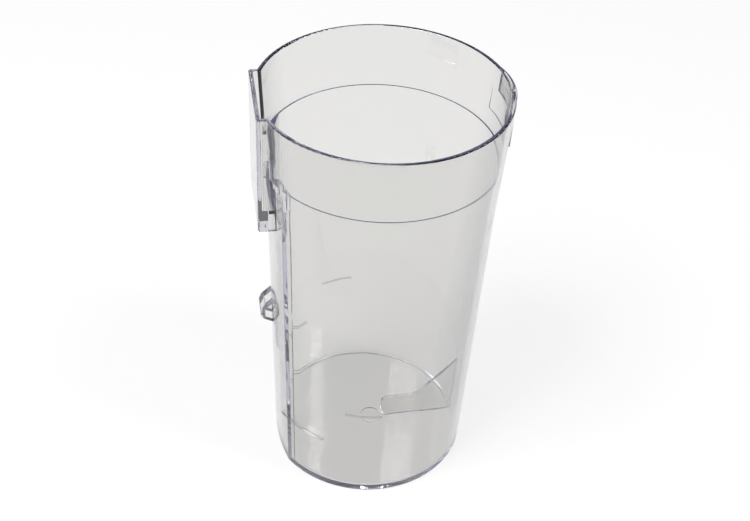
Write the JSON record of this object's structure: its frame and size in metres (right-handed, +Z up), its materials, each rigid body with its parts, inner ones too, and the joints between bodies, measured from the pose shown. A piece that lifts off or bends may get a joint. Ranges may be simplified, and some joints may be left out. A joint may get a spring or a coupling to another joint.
{
  "type": "vacuum cleaner dust bin",
  "caption": "Clear moulded dust bin: a tapered round cup with a seal seat at the mouth, a flattened land with a slide box and lug, a rim latch pad and a floor fin.",
  "frame": {"origin": "on the axis of the cup, at the underside of its floor", "axes": "+Z up along the axis to the mouth, +X towards the latch pad and the fin, -X towards the slide box"},
  "size_m": [0.118, 0.117, 0.2127],
  "materials": {
    "clear_plastic": "polished clear polycarbonate"
  },
  "bodies": {
    "root": {"dust_bin": "clear_plastic"}
  },
  "joints": []
}
